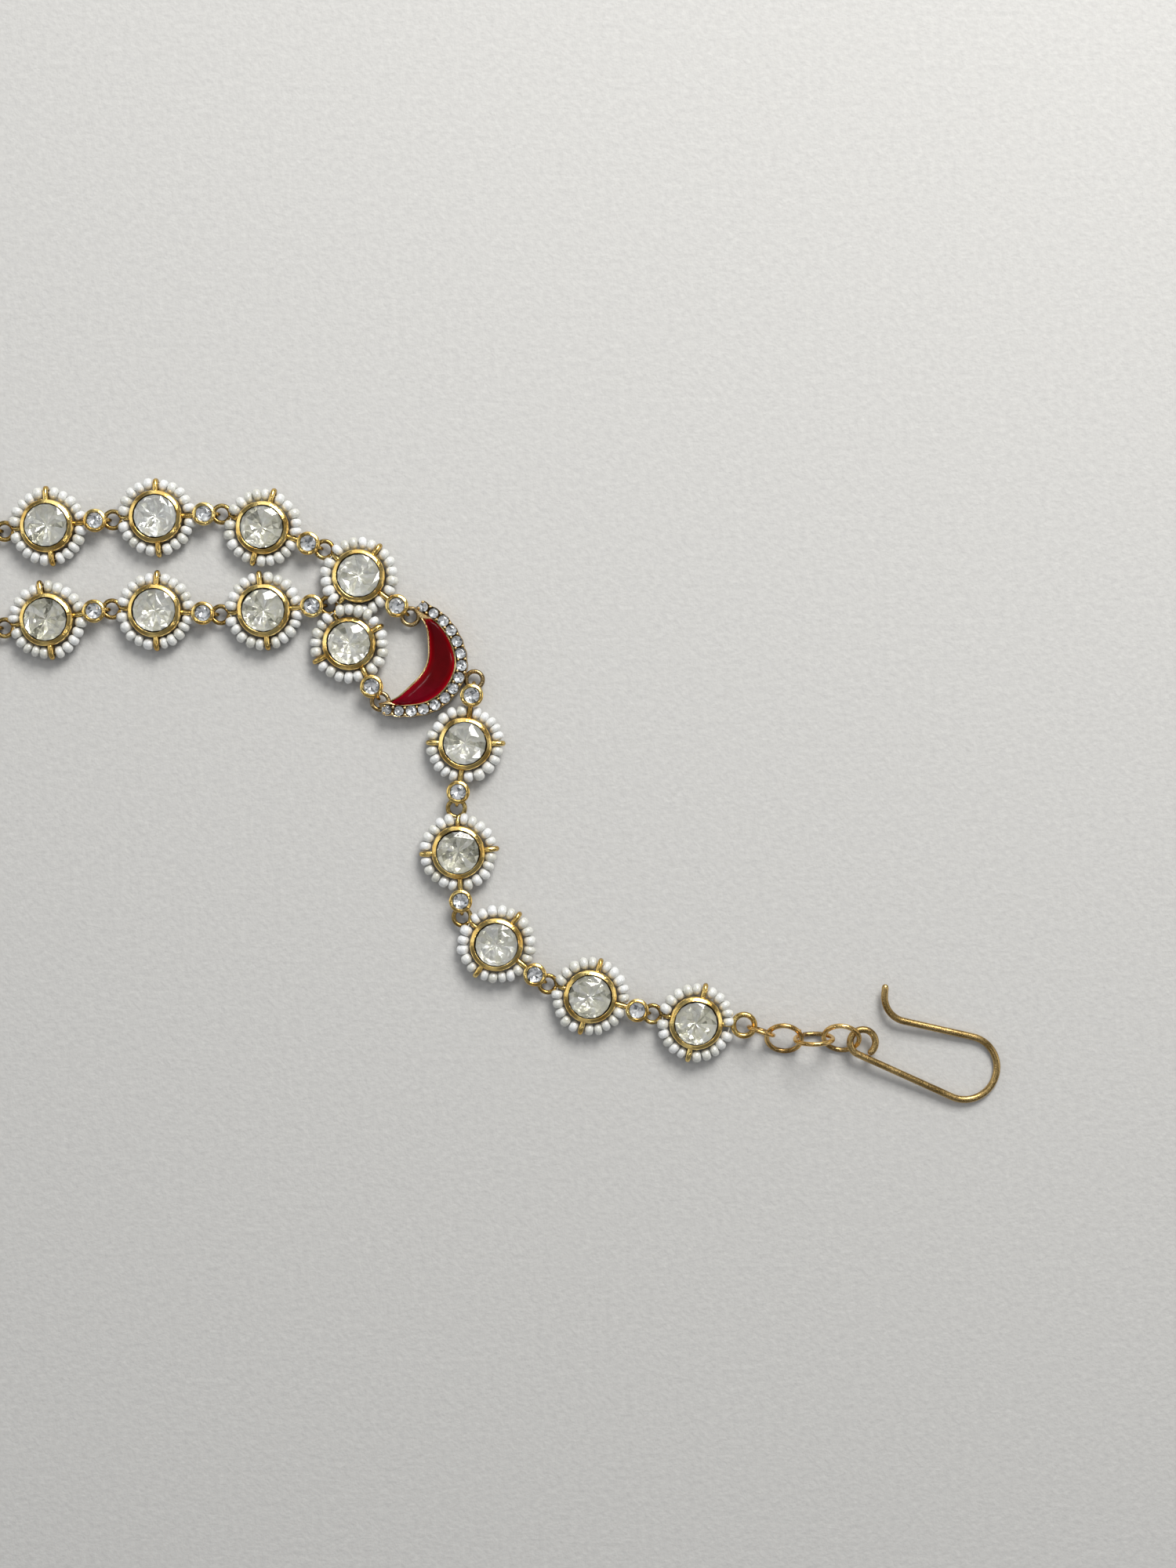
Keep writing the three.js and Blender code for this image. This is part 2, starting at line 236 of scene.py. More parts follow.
class Shape:
    """Vertices in millimetres, and faces with a tone and a material slot each."""

    def __init__(self):
        self.verts, self.faces, self.tones, self.slots = [], [], [], []

    def add(self, verts, faces, tone=0.5):
        start = len(self.verts)
        self.verts += [tuple(vert) for vert in verts]
        self.faces += [tuple(start + i for i in face) for face in faces]
        self.tones += list(tone) if isinstance(tone, list) else [tone] * len(faces)
        self.slots += [0] * len(faces)

    def placed(self, x, y, turn):
        """The same shape turned about Z and moved."""
        other = Shape()
        points = np.array(self.verts)
        c, s = math.cos(turn), math.sin(turn)
        moved_x = x + c * points[:, 0] - s * points[:, 1]
        moved_y = y + s * points[:, 0] + c * points[:, 1]
        other.add(np.column_stack([moved_x, moved_y, points[:, 2]]), self.faces)
        other.tones, other.slots = list(self.tones), list(self.slots)
        return other


def piece(name, shape, materials, node_name, smooth_angle=40, mirror=False):
    """One finished mesh that rides with the ornament and stands for its CAD node."""
    points = np.array(shape.verts) * MM * (-1 if mirror else 1, 1, 1)
    faces = [face[::-1] for face in shape.faces] if mirror else shape.faces
    mesh = bpy.data.meshes.new(name)
    mesh.from_pydata(points.tolist(), [], faces)
    for each in materials:
        mesh.materials.append(each)
    mesh.polygons.foreach_set("material_index", shape.slots)
    tone = mesh.attributes.new("tone", "FLOAT", "FACE")
    tone.data.foreach_set("value", shape.tones)
    if smooth_angle:
        mesh.shade_smooth()
        mesh.set_sharp_from_angle(angle=math.radians(smooth_angle))
    else:
        mesh.shade_flat()
    made = bpy.data.objects.new(name, mesh)
    bpy.context.collection.objects.link(made)
    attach(made, "root")
    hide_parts(node_name)


def both(name, shape, materials, node_name, smooth_angle=40):
    """The piece of the right half, and its mirror image in the left half."""
    piece(f"{name}_right", shape, materials, f"{node_name}_right", smooth_angle)
    piece(f"{name}_left", shape, materials, f"{node_name}_left", smooth_angle, mirror=True)


def strips(rows, count, closed_around=True):
    """Quads between successive rows of points."""
    around = count if closed_around else count - 1
    return [(r * count + i, r * count + (i + 1) % count, (r + 1) * count + (i + 1) % count, (r + 1) * count + i)
            for r in range(rows - 1) for i in range(around)]


def lathe(profile, count, wobble, seed):
    """A closed profile of (radius, height) rows turned about Z, from its bottom middle to its top middle."""
    angles = np.arange(count) * 2 * math.pi / count
    rng = np.random.default_rng(seed)
    wave = 1 + wobble * sum(rng.normal() * np.cos(k * angles + rng.uniform(0, 6.28)) for k in (2, 3, 5))
    verts = [(r * w * math.cos(a), r * w * math.sin(a), z) for r, z in profile for a, w in zip(angles, wave)]
    bottom, top = tuple(range(count))[::-1], tuple(range(len(verts) - count, len(verts)))
    return verts, [*strips(len(profile), count), bottom, top]


# How a wire's cut end is rounded: how far out in wire radii, and how wide.
ROUND_END = [(0.6, 0.8), (0.92, 0.4)]


def tube(points, radius, sides=12, closed=False, flat=1.0, round_ends=True):
    """A wire along points. Its ends are rounded off, and flat under 1 presses it thinner in height."""
    points = np.array(points, float)
    radii = np.full(len(points), float(radius))
    if not closed and round_ends:
        first, last = points[0] - points[1], points[-1] - points[-2]
        first, last = first / np.linalg.norm(first), last / np.linalg.norm(last)
        start = [(points[0] + first * radius * out, radius * wide) for out, wide in ROUND_END[::-1]]
        finish = [(points[-1] + last * radius * out, radius * wide) for out, wide in ROUND_END]
        points = np.array([p for p, _ in start] + list(points) + [p for p, _ in finish])
        radii = np.array([r for _, r in start] + list(radii) + [r for _, r in finish])
    before = np.roll(points, 1, axis=0) if closed else np.vstack([points[:1], points[:-1]])
    after = np.roll(points, -1, axis=0) if closed else np.vstack([points[1:], points[-1:]])
    along = after - before
    along /= np.linalg.norm(along, axis=1)[:, None]
    side = np.cross(along[0], (0, 0, 1))
    if np.linalg.norm(side) < 1e-6:
        side = np.array([1.0, 0, 0])
    verts = []
    for point, tangent, r in zip(points, along, radii):
        side = side - tangent * np.dot(side, tangent)
        side /= np.linalg.norm(side)
        up = np.cross(side, tangent)
        for i in range(sides):
            a = 2 * math.pi * (i + 0.5) / sides
            verts.append(point + r * (math.cos(a) * side + math.sin(a) * flat * up))
    faces = [face[::-1] for face in strips(len(points), sides)]
    last = len(verts) - sides
    if closed:
        faces += [(last + i, i, (i + 1) % sides, last + (i + 1) % sides) for i in range(sides)]
    else:
        faces += [tuple(range(sides)), tuple(range(last, len(verts)))[::-1]]
    return verts, faces


def arc(cx, cy, radius, start, end, steps, z):
    """Points of an arc in the XY plane, angles in degrees."""
    angles = np.radians(np.linspace(start, end, steps + 1))
    return [(cx + radius * math.cos(a), cy + radius * math.sin(a), z) for a in angles]


# Millimetres along a unit, from the middle of its large bezel. Profiles are (radius, height) rows.
WIRE_Z, BAR_Z, BAR = 1.3, 1.85, 0.44
EYE_AT, SMALL_AT, SMALL_TO_EYE = -7.05, 7.8, 2.6
EYE_RADIUS, EYE_WIRE = 1.36, 0.37
LOOP_RADIUS, LOOP_WIRE, LOOP_OUT, LOOP_ENDS, LOOP_Z = 0.95, 0.31, 1.17, 0.5, WIRE_Z - 0.03
BEZEL = [(4.12, 0.0), (4.22, 0.1), (4.22, 0.5), (4.18, 0.7), (4.2, 1.6), (4.26, 2.4), (4.26, 2.75),
         (4.22, 2.92), (4.13, 3.05), (4.0, 3.14), (3.84, 3.22), (3.7, 3.3), (3.6, 3.35), (3.53, 3.33),
         (3.49, 3.2), (3.48, 1.9)]
BEZEL_SIDES, BEZEL_INNER_ROWS = 64, 3
COLLET = [(0.95, 0.0), (0.95, 0.25), (0.62, 0.45), (0.6, 1.5), (0.8, 1.95), (1.3, 2.4), (1.74, 2.66),
          (1.86, 2.8), (1.87, 2.93), (1.81, 3.04), (1.68, 3.11), (1.52, 3.17), (1.4, 3.2), (1.33, 3.15),
          (1.3, 2.95), (1.1, 2.4)]
COLLET_SIDES = 32
EYE_NECK = [(-4.05, 0.1, BAR_Z), (-4.7, 0.1, BAR_Z - 0.08), (-5.2, 0.12, WIRE_Z + 0.3),
            (-5.62, 0.2, WIRE_Z + 0.12)]
EYELET_WIRE, EYELET_REACH = 0.43, 5.75
# Where the two rows meet, the upper station is tucked under the beads of the lower one. Its eyelet there is
# pinched close and high, clear of the lower station's eye.
TUCKED, RIDING = "upper_station_4", "lower_station_4"
PINCHED_EYELET = [(4.05, 2.6), (4.5, 2.62), (4.85, 2.6), (4.99, 2.45), (4.95, 2.3), (4.7, 2.2),
                  (4.05, 2.15)]
PINCHED_WIRE, PINCHED_AT = 0.36, -87
END_RING = {"distance": 7.7, "turn": 8, "middle": 1.71, "wire": 0.46, "z": 1.9}
END_STEM, END_STEM_WIRE = [(4.1, 0.55, 1.7), (5.95, 0.83, 1.85)], 0.42


def small_setting(shape, x, sides):
    """A conical collet on its shank, with an upright wire loop on each named side (+1 or -1)."""
    verts, faces = lathe(COLLET, COLLET_SIDES, wobble=0.004, seed=5)
    shape.add([(x + a, b, c) for a, b, c in verts], faces)
    for side in sides:
        upright = [(x + side * (LOOP_OUT - LOOP_RADIUS * math.cos(a)), 0, LOOP_Z + LOOP_RADIUS * math.sin(a))
                   for a in np.radians(np.linspace(50, 310, 17))]
        run_in = (upright[0][0] - side * LOOP_ENDS, 0, upright[0][2])
        run_out = (upright[-1][0] - side * LOOP_ENDS, 0, upright[-1][2])
        shape.add(*tube([run_in, *upright, run_out][::-1], LOOP_WIRE, 10))


def hooked_eye(shape):
    """A wire from the bezel, curled round into an eye whose end comes back beside its own neck."""
    shape.add(*tube([*EYE_NECK, *arc(EYE_AT, 0, EYE_RADIUS, 22, 352, 26, WIRE_Z)], EYE_WIRE))


def eyelets(seed, pinched):
    """Direction in degrees and reach of the two eyelets of a bezel. A pinched one has no reach of its own."""
    rng = np.random.default_rng(100 + seed)
    rows = [(side + rng.normal(0, 3), EYELET_REACH + rng.normal(0, 0.1)) for side in (90, -90)]
    return [rows[0], (PINCHED_AT, None)] if pinched else rows


def big_setting(seed, pinched):
    """Bezel with its base plate, and the two eyelets that hold the bead thread."""
    shape = Shape()
    verts, faces = lathe(BEZEL, BEZEL_SIDES, wobble=0.0035, seed=seed)
    inner = BEZEL_SIDES * (len(BEZEL) - BEZEL_INNER_ROWS)
    shape.add(verts, faces)
    # The inner wall round the stone takes the shadowed gold: painted shade.
    shape.slots[:] = [int(min(face) >= inner) for face in faces]
    for degrees, reach in eyelets(seed, pinched):
        if reach is None:
            eyelet, wire = PINCHED_EYELET, PINCHED_WIRE
        else:
            eyelet = [(4.05, 2.5), (4.9, 2.5), (reach - 0.1, 2.42), (reach + 0.22, 2.2), (reach + 0.3, 1.8),
                      (reach + 0.16, 1.4), (reach - 0.2, 1.2), (4.05, 1.15)]
            wire = EYELET_WIRE
        lean = math.radians(degrees)
        shape.add(*tube([(r * math.cos(lean), r * math.sin(lean), z) for r, z in eyelet], wire))
    return shape


def bar(shape, side):
    """The straight wire from the large bezel to a small one."""
    shape.add(*tube([(side * x, 0, BAR_Z) for x in (4.0, 5.5, SMALL_AT - 0.5)], BAR))


def unit_wires(shape):
    bar(shape, 1)
    hooked_eye(shape)
    small_setting(shape, SMALL_AT, [1])


def double_wires(shape):
    for side in (1, -1):
        bar(shape, side)
        small_setting(shape, side * SMALL_AT, [side])


def last_wires(shape):
    hooked_eye(shape)
    turn, distance = math.radians(END_RING["turn"]), END_RING["distance"]
    x, y = distance * math.cos(turn), distance * math.sin(turn)
    shape.add(*tube(arc(x, y, END_RING["middle"], 0, 350, 35, END_RING["z"]), END_RING["wire"], closed=True))
    shape.add(*tube(END_STEM, END_STEM_WIRE, 10))


# Heights of the stone tables on the CAD solids, by which each station is found.
LARGE_TABLE, SMALL_TABLE = 3.9, 3.35


def corners(name):
    """A CAD node's vertices, in millimetres."""
    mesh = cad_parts[name].data
    points = np.empty(len(mesh.vertices) * 3)
    mesh.vertices.foreach_get("co", points)
    return points.reshape(-1, 3) / MM


def at_height(points, z):
    return points[abs(points[:, 2] - z) < 0.02]


def lie(name):
    """Where a station lies: the middle of its large stone, and its direction towards its outer end."""
    points = corners(name)
    middle = at_height(points, LARGE_TABLE)[:, :2].mean(axis=0)
    small = at_height(points, SMALL_TABLE)[:, :2]
    if name.startswith("tail_station_1"):
        small = small[small[:, 1] < middle[1]]
    if len(small):
        way = small.mean(axis=0) - middle
    else:
        reach = points[:, :2] - middle
        eye = reach[(np.hypot(*reach.T) > 6.7) & (reach[:, 0] < 0)]
        way = -eye.mean(axis=0)
    return middle[0], middle[1], math.atan2(way[1], way[0])


STATIONS = [f"{row}_station_{i}" for row, count in (("upper", 4), ("lower", 4), ("tail", 5))
            for i in range(1, count + 1)]
WIRES = {"tail_station_1": double_wires, "tail_station_5": last_wires}
lies = {name: lie(f"{name}_right") for name in STATIONS}
for seed, name in enumerate(STATIONS):
    shape = big_setting(seed, name == TUCKED)
    WIRES.get(name, unit_wires)(shape)
    both(f"setting_{name}", shape.placed(*lies[name]), [gold, crevice], name)

centre_places = {}
for row in ("upper", "lower"):
    low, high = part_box(f"{row}_centre_link")
    centre_places[row] = (0.0, (low[1] + high[1]) / 2 / MM, 0.0)
    shape = Shape()
    small_setting(shape, 0, [1, -1])
    centre = shape.placed(*centre_places[row])
    piece(f"setting_{row}_centre", centre, [gold], f"{row}_centre_link")

# ---- clear stones ----
# The large stones are polki style: flat pieces of clear glass with broad uneven facets, set over crumpled
# silver foil so that they flash. The small bezels hold round brilliant-cut stones with a cooler tone. The edge
# of the bezel is rubbed over each stone.
def clear_glass(name, tint, pale):
    made, shader, node = material(name, Transmission_Weight=1.0, IOR=1.56)
    tone = node("ShaderNodeAttribute", attribute_name="tone").outputs["Fac"]
    link(made, mix(node, tone, (*tint, 1), (*pale, 1)), shader.inputs["Base Color"])
    link(made, spread(node, noise(node, 900, 2), 0.0, 0.06), shader.inputs["Roughness"])
    bump(made, shader, node, noise(node, 700, 2), 0.05, 0.0001)
    return made


def foil(name, dull, mid, bright, cool):
    """Crumpled foil: each crease painted a tone of grey, cream, white or pale blue, with fine white cracks."""
    made, shader, node = material(name, Metallic=0.64)
    tone = node("ShaderNodeAttribute", attribute_name="tone").outputs["Fac"]
    # The dark to white tones of the creases are painted reflections of the light each crease catches; cream and
    # pale blue are a tint.
    colour = ramp(node, tone, (0.16, dull), (0.42, mid), (0.66, bright), (1.0, cool))
    cloudy = mix(node, spread(node, noise(node, 1500, 4), 0.0, 0.4), colour, (*mid, 1))
    cells = {"Vector": object_space(node), "Scale": 800.0}
    crack = node("ShaderNodeTexVoronoi", cells, feature="DISTANCE_TO_EDGE").outputs["Distance"]
    feather = mapped(node, crack, 0.0, 0.05, 0.8, 0.0)
    patchy = combined(node, "MULTIPLY", feather, spread(node, noise(node, 500, 2), 0.0, 1.0))
    link(made, mix(node, patchy, cloudy, (1.0, 1.0, 1.0, 1)), shader.inputs["Base Color"])
    link(made, spread(node, noise(node, 2000, 2), 0.03, 0.16), shader.inputs["Roughness"])
    bump(made, shader, node, noise(node, 900, 3), 0.32, 0.0003)
    return made


warm_glass = clear_glass("clear_stone_large", tint=(1.0, 0.99, 0.95), pale=(1.0, 1.0, 1.0))
cool_glass = clear_glass("clear_stone_small", tint=(0.97, 0.985, 1.0), pale=(1.0, 1.0, 1.0))
warm_foil = foil("silver_foil_large", dull=(0.17, 0.17, 0.13), mid=(0.97, 0.96, 0.83),
                 bright=(1.0, 1.0, 0.97), cool=(0.97, 0.99, 1.0))
cool_foil = foil("silver_foil_small", dull=(0.08, 0.09, 0.1), mid=(0.92, 0.94, 0.95),
                 bright=(1.0, 1.0, 1.0), cool=(0.95, 0.98, 1.0))


def ring_of(count, radius, z, turn, rng, uneven=0.0, rise=0.0):
    """Corners of one row of facets, made uneven by hand cutting."""
    places = np.arange(count) + rng.uniform(-uneven, uneven, count)
    angles = np.sort(places * 2 * math.pi / count) + turn
    radii = radius * (1 + rng.uniform(-uneven, uneven, count) * 0.5)
    return [(r * math.cos(a), r * math.sin(a), z + rng.uniform(-rise, rise)) for a, r in zip(angles, radii)]


def between(inner, outer, start):
    """Triangles between an inner and an outer row of corners. start is the index of the first inner corner."""
    a, b = len(inner), len(outer)
    angle = [math.atan2(y, x) for x, y, _ in [*inner, *outer]]
    away = [abs((outer_angle - angle[0] + math.pi) % (2 * math.pi) - math.pi) for outer_angle in angle[a:]]
    first = away.index(min(away))
    turn_a = np.unwrap([angle[k % a] for k in range(a + 1)])
    turn_b = np.unwrap([angle[a + (first + k) % b] for k in range(b + 1)])
    i = j = 0
    faces = []
    while i < a or j < b:
        outer_here, inner_here = start + a + (first + j) % b, start + i % a
        if j < b and (i == a or turn_b[j + 1] - turn_b[0] <= turn_a[i + 1] - turn_a[0] + 1e-9):
            faces.append((inner_here, outer_here, start + a + (first + j + 1) % b))
            j += 1
        else:
            faces.append((inner_here, outer_here, start + (i + 1) % a))
            i += 1
    return faces


# The foil's place in a stone's materials, after the glass.
FOIL = 1


def cut_stone(crown, foil_rows, rng):
    """A faceted crown of glass, closed below by its foil. Both are rows of facet corners, inner row first."""
    shape = Shape()
    start, verts, faces = 0, list(crown[0]), [tuple(range(len(crown[0])))]
    for inner, outer in zip(crown, crown[1:]):
        faces += between(inner, outer, start)
        start += len(inner)
        verts += outer
    count, base = len(crown[-1]), len(verts)
    faces += [(start + i, base + i, base + (i + 1) % count, start + (i + 1) % count) for i in range(count)]
    shape.add(verts + foil_rows[-1], faces, [float(rng.uniform()) for _ in faces])
    under, start = [tuple(range(len(foil_rows[0])))], 0
    for inner, outer in zip(foil_rows, foil_rows[1:]):
        under += between(inner, outer, start)
        start += len(inner)
    corners_below = sum(foil_rows[:-1], [])
    rim = {len(corners_below) + i: base + i for i in range(count)}
    first = len(shape.verts)
    shape.verts += corners_below
    shape.faces += [tuple(rim.get(v, first + v) for v in face)[::-1] for face in under]
    shape.tones += [float(rng.uniform()) for _ in under]
    shape.slots += [FOIL] * len(under)
    return shape


FOLDS = 16


def folded_foil(shape, rng, turn):
    """Gives the foil its folds' painted tones: sectors run out from the middle, each a little different."""
    sectors = rng.uniform(0.1, 1.0, FOLDS)
    # Painted reflection: each sector's lightness, and a shift for the whole stone, stand for the light the
    # folds catch.
    painted_flash_shift = rng.uniform(-0.04, 0.26)
    for n, face in enumerate(shape.faces):
        if shape.slots[n] == FOIL:
            x, y, _ = np.mean([shape.verts[v] for v in face], axis=0)
            sector = int((math.atan2(y, x) - turn) / (2 * math.pi / FOLDS)) % FOLDS
            shape.tones[n] = min(1.0, max(0.0, 0.66 * sectors[sector] + 0.36 * shape.tones[n] + painted_flash_shift))


# Heights and radii of a large stone's rows of corners, from the table down to the rim and the pit of its foil.
TABLE_Z, STAR_Z, GIRDLE_Z, FOIL_RIM_Z, FOIL_PIT_Z = 3.84, 3.6, 3.27, 3.06, 2.05
TABLE_RADII, STAR_RADIUS, GIRDLE_RADIUS = (1.5, 1.8), 2.6, 3.38
FOLD_HEIGHT, OFF_CENTRE = 0.2, 0.05
FOIL_ROWS = [{"share": 0.26, "uneven": 0.08}, {"share": 0.5, "uneven": 0.1}, {"share": 0.76, "uneven": 0.1}]


def polki(seed):
    """A large stone: table, star and girdle facets, all a little uneven, over foil with creases like a star."""
    rng = np.random.default_rng(300 + seed)
    turn, step = rng.uniform(0, 6), math.pi / 8
    table = ring_of(8, rng.uniform(*TABLE_RADII), TABLE_Z, turn, rng, 0.12)
    star = ring_of(8, STAR_RADIUS, STAR_Z, turn + step, rng, 0.1, 0.03)
    girdle = ring_of(16, GIRDLE_RADIUS, GIRDLE_Z, turn, rng)
    foil_turn = rng.uniform(0, 6)
    foil_rows = [ring_of(3, 0.1, FOIL_PIT_Z, foil_turn, rng)]
    for row in FOIL_ROWS:
        share, uneven = row["share"], row["uneven"]
        fold = FOLD_HEIGHT * (1 - share)
        radius, z = GIRDLE_RADIUS * share, FOIL_PIT_Z + share
        ring = ring_of(FOLDS, radius, z, foil_turn, rng, uneven, uneven * 0.8)
        foil_rows.append([(x, y, z + (fold if n % 2 else -fold)) for n, (x, y, z) in enumerate(ring)])
    foil_rows.append([(x, y, FOIL_RIM_Z) for x, y, _ in girdle])
    shape = cut_stone([table, star, girdle], foil_rows, rng)
    folded_foil(shape, rng, foil_turn)
    towards = rng.uniform(0, 6)
    return shape.placed(OFF_CENTRE * math.cos(towards), OFF_CENTRE * math.sin(towards), 0)


def brilliant(x, seed, radius=1.26, girdle_z=3.04, depth=0.42, count=8):
    """A small round stone with a table, a star and a girdle row of facets."""
    rng = np.random.default_rng(500 + seed)
    turn, step = rng.uniform(0, 6), math.pi / count
    crown = [ring_of(count, radius * 0.52, girdle_z + 0.36, turn, rng),
             ring_of(count, radius * 0.8, girdle_z + 0.22, turn + step, rng),
             ring_of(count * 2, radius, girdle_z, turn, rng)]
    foil_rows = [ring_of(3, radius * 0.1, girdle_z - depth, 0, rng),
                 ring_of(count, radius * 0.55, girdle_z - depth * 0.55, turn, rng),
                 [(a, b, girdle_z - 0.06) for a, b, _ in crown[-1]]]
    return cut_stone(crown, foil_rows, rng).placed(x, 0, 0)


SMALL_STONES = {"tail_station_1": (SMALL_AT, -SMALL_AT), "tail_station_5": ()}
LARGE, SMALL = [warm_glass, warm_foil], [cool_glass, cool_foil]
for seed, name in enumerate(STATIONS):
    both(f"large_stone_{name}", polki(seed).placed(*lies[name]), LARGE, name, None)
    for n, x in enumerate(SMALL_STONES.get(name, (SMALL_AT,))):
        stone = brilliant(x, seed * 2 + n).placed(*lies[name])
        both(f"small_stone_{n + 1}_{name}", stone, SMALL, name, None)
for seed, row in enumerate(("upper", "lower")):
    stone = brilliant(0, 90 + seed).placed(*centre_places[row])
    piece(f"small_stone_{row}_centre", stone, SMALL, f"{row}_centre_link", None)

# ---- seed beads ----
# Pearly glass seed beads, five to each quarter, strung round each large bezel on a waxed thread that runs
# through the two eyelets. They are slightly uneven in size and lean where the string is slack.
pearl, shader, node = material("pearly_glass", Coat_Weight=1.0, Coat_Roughness=0.05, Metallic=0.12, IOR=1.55)
tone = node("ShaderNodeAttribute", attribute_name="tone").outputs["Fac"]
shade = ramp(node, tone, (0.0, (0.62, 0.61, 0.52)), (0.4, (0.76, 0.76, 0.71)), (1.0, (0.86, 0.87, 0.87)))
milky = mix(node, spread(node, noise(node, 1300, 3), 0.0, 0.5), shade, (0.66, 0.68, 0.68, 1))
link(pearl, milky, shader.inputs["Base Color"])
link(pearl, spread(node, noise(node, 1800, 2), 0.16, 0.36), shader.inputs["Roughness"])
bump(pearl, shader, node, noise(node, 1500, 3), 0.1, 0.00008)

thread, shader, node = material("waxed_thread", Roughness=0.7)
fibre = ramp(node, noise(node, 5000, 2), (0.3, (0.62, 0.58, 0.48)), (0.7, (0.82, 0.79, 0.7)))
link(thread, fibre, shader.inputs["Base Color"])
bump(thread, shader, node, noise(node, 9000, 2), 0.4, 0.00005)

BEAD_PROFILE = [(0.24 + 0.76 * math.cos(a) ** 0.75, 0.92 * math.sin(a))
                for a in np.radians(np.linspace(-89, 89, 11))]
BEAD_SIDES, BEADS_A_QUARTER, BEAD_HALF_LENGTH = 14, 5, 0.77
STRING_Z, STRING_RADIUS, THREAD_RADIUS, THREAD_WIRE, THREAD_STEPS = 1.72, 5.34, 5.42, 0.1, 40
# Degrees that the beads keep clear beside each wire and eyelet, and what that leaves of a quarter.
BESIDE_WIRE = 5.2
QUARTER = 90 - 2 * BESIDE_WIRE


def bead(shape, at, along, radius, length, tone, rng):
    """A drilled rondelle: its hole lies along the string."""
    along = np.array(along) / np.linalg.norm(along)
    side = np.cross(along, (0, 0, 1))
    side /= np.linalg.norm(side)
    up = np.cross(side, along)
    squash = 1 + rng.normal(0, 0.025)
    around = np.arange(BEAD_SIDES) * 2 * math.pi / BEAD_SIDES
    verts = [np.array(at) + along * z * length + radius * r * (math.cos(a) * side + math.sin(a) * up * squash)
             for r, z in BEAD_PROFILE for a in around]
    faces = strips(len(BEAD_PROFILE), BEAD_SIDES)
    last = len(verts) - BEAD_SIDES
    faces += [(last + i, last + (i + 1) % BEAD_SIDES, (i + 1) % BEAD_SIDES, i) for i in range(BEAD_SIDES)]
    shape.add(verts, faces, tone)


def string_height(degrees, pushed):
    """Height of the bead string in one direction, pushed up or down where other pieces lie in the way."""
    height = 0
    for row in pushed:
        away = (degrees - row["towards"] + 180) % 360 - 180
        height += row["up"] * max(0.0, 1 - (away / row["within"]) ** 2)
    return STRING_Z + height


def bead_string(seed, pinched, pushed):
    """The beads round one bezel, and the thread through them."""
    rng = np.random.default_rng(700 + seed)
    beads, string = Shape(), Shape()
    (first, _), (second, _) = eyelets(seed, pinched)
    stops = [0, first, 180, 360 + second, 360]
    for start, stop in zip(stops, stops[1:]):
        room = stop - start - 2 * BESIDE_WIRE
        widths = rng.uniform(0.88, 1.12, BEADS_A_QUARTER)
        edges = np.concatenate([[0], np.cumsum(widths)]) / widths.sum() * room + start + BESIDE_WIRE
        for n in range(BEADS_A_QUARTER):
            degrees = (edges[n] + edges[n + 1]) / 2
            a = math.radians(degrees)
            radius = STRING_RADIUS + rng.normal(0, 0.07)
            z = string_height(degrees, pushed) + rng.normal(0, 0.07)
            lean = rng.normal(0, 0.12)
            at = (radius * math.cos(a), radius * math.sin(a), z)
            along = (-math.sin(a + lean), math.cos(a + lean), rng.normal(0, 0.08))
            size = widths[n] / widths.mean()
            half_length = BEAD_HALF_LENGTH * size * room / QUARTER
            thick = 0.9 + 0.1 * size + rng.normal(0, 0.03)
            bead(beads, at, along, thick, half_length, float(rng.uniform()), rng)
    angles = np.arange(THREAD_STEPS) * 2 * math.pi / THREAD_STEPS
    heights = [string_height(math.degrees(a), pushed) for a in angles]
    route = [(THREAD_RADIUS * math.cos(a), THREAD_RADIUS * math.sin(a), z) for a, z in zip(angles, heights)]
    string.add(*tube(route, THREAD_WIRE, 6, closed=True))
    return beads, string


def bearing_to(name, x, y):
    """Direction of a point from a station's middle, in degrees from the station's own heading."""
    return math.degrees(math.atan2(y - lies[name][1], x - lies[name][0]) - lies[name][2])


# The riding station's beads lie over the tucked one's, and those rise over the riding station's eye.
riding_x, riding_y, riding_turn = lies[RIDING]
riding_eye = (riding_x + EYE_AT * math.cos(riding_turn), riding_y + EYE_AT * math.sin(riding_turn))
PUSHED = {RIDING: [{"towards": bearing_to(RIDING, *lies[TUCKED][:2]), "up": 1.55, "within": 62}],
          TUCKED: [{"towards": bearing_to(TUCKED, riding_x, riding_y), "up": -0.62, "within": 50},
                   {"towards": bearing_to(TUCKED, *riding_eye) - 4, "up": 1.2, "within": 22}]}
for seed, name in enumerate(STATIONS):
    beads, string = bead_string(seed, name == TUCKED, PUSHED.get(name, []))
    both(f"seed_beads_{name}", beads.placed(*lies[name]), [pearl], name, 60)
    both(f"thread_{name}", string.placed(*lies[name]), [thread], name, 60)

# ---- crescents ----
# A crescent built up from plate, with darker plating than the settings: a deep field for the enamel inside a
# thin raised border, and along its outer side a ledge of pave stones between raised grains. Three soldered eyes
# take the two rows and the tail.
dark_gold = metal("oxidised_gold", deep=(0.50, 0.32, 0.11), bright=(0.92, 0.70, 0.36),
                  dark=(0.05, 0.03, 0.015), smooth=0.12, rough=0.32, dark_below=0.00285)

